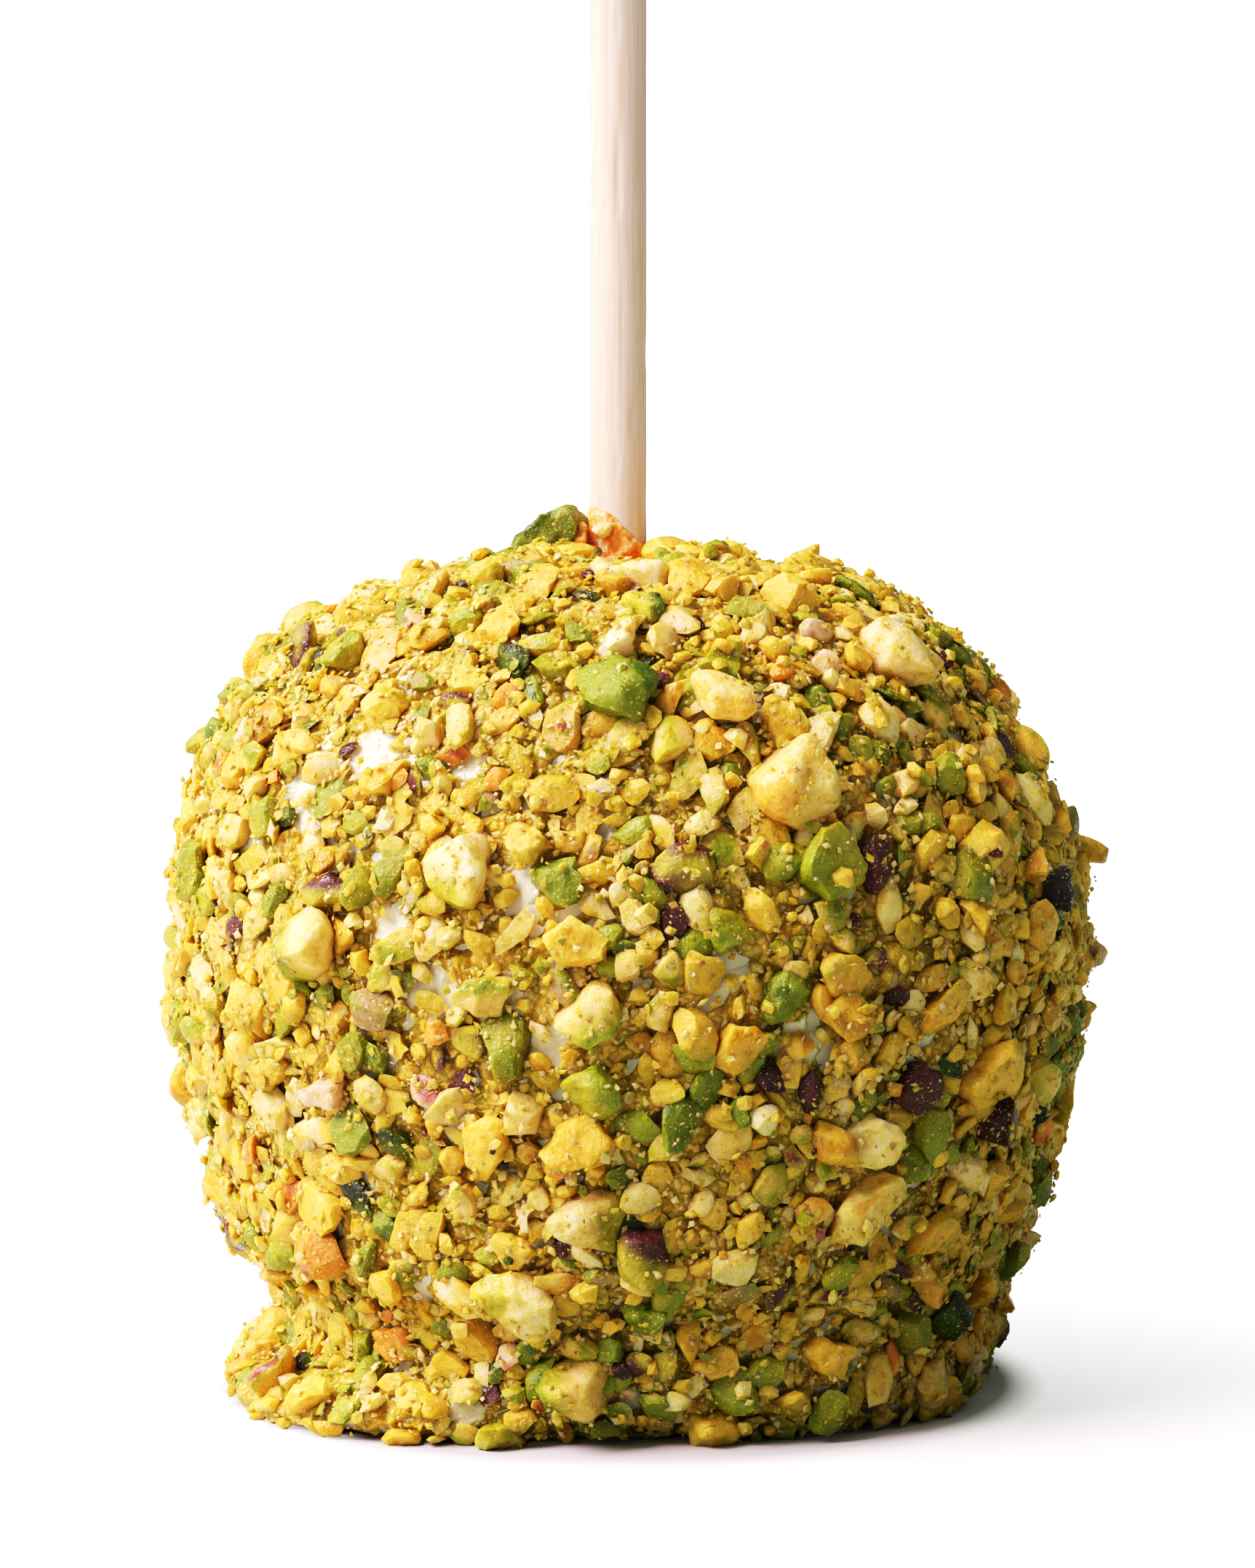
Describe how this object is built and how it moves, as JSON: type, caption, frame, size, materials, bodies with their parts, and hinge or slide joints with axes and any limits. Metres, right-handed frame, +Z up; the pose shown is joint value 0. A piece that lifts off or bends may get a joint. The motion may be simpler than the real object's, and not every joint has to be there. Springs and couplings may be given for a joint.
{
  "type": "caramel apple",
  "caption": "Dipped apple on a round wooden stick, rolled in chopped pistachios over a pale coat, standing on the foot its coat pooled into.",
  "frame": {"origin": "on the stick's axis, at the flat underside of the foot", "axes": "+Z up along the stick, -Y to the front"},
  "size_m": [0.0967, 0.0958, 0.1676],
  "materials": {
    "chopped_nuts": "chopped pistachio, golden yellow and green, lightly oily",
    "caramel": "glossy amber caramel",
    "stick_wood": "bare pale birch, fine straight grain"
  },
  "bodies": {
    "root": {"coated_apple": "chopped_nuts", "caramel_collar": "caramel", "stick": "stick_wood"}
  },
  "joints": []
}
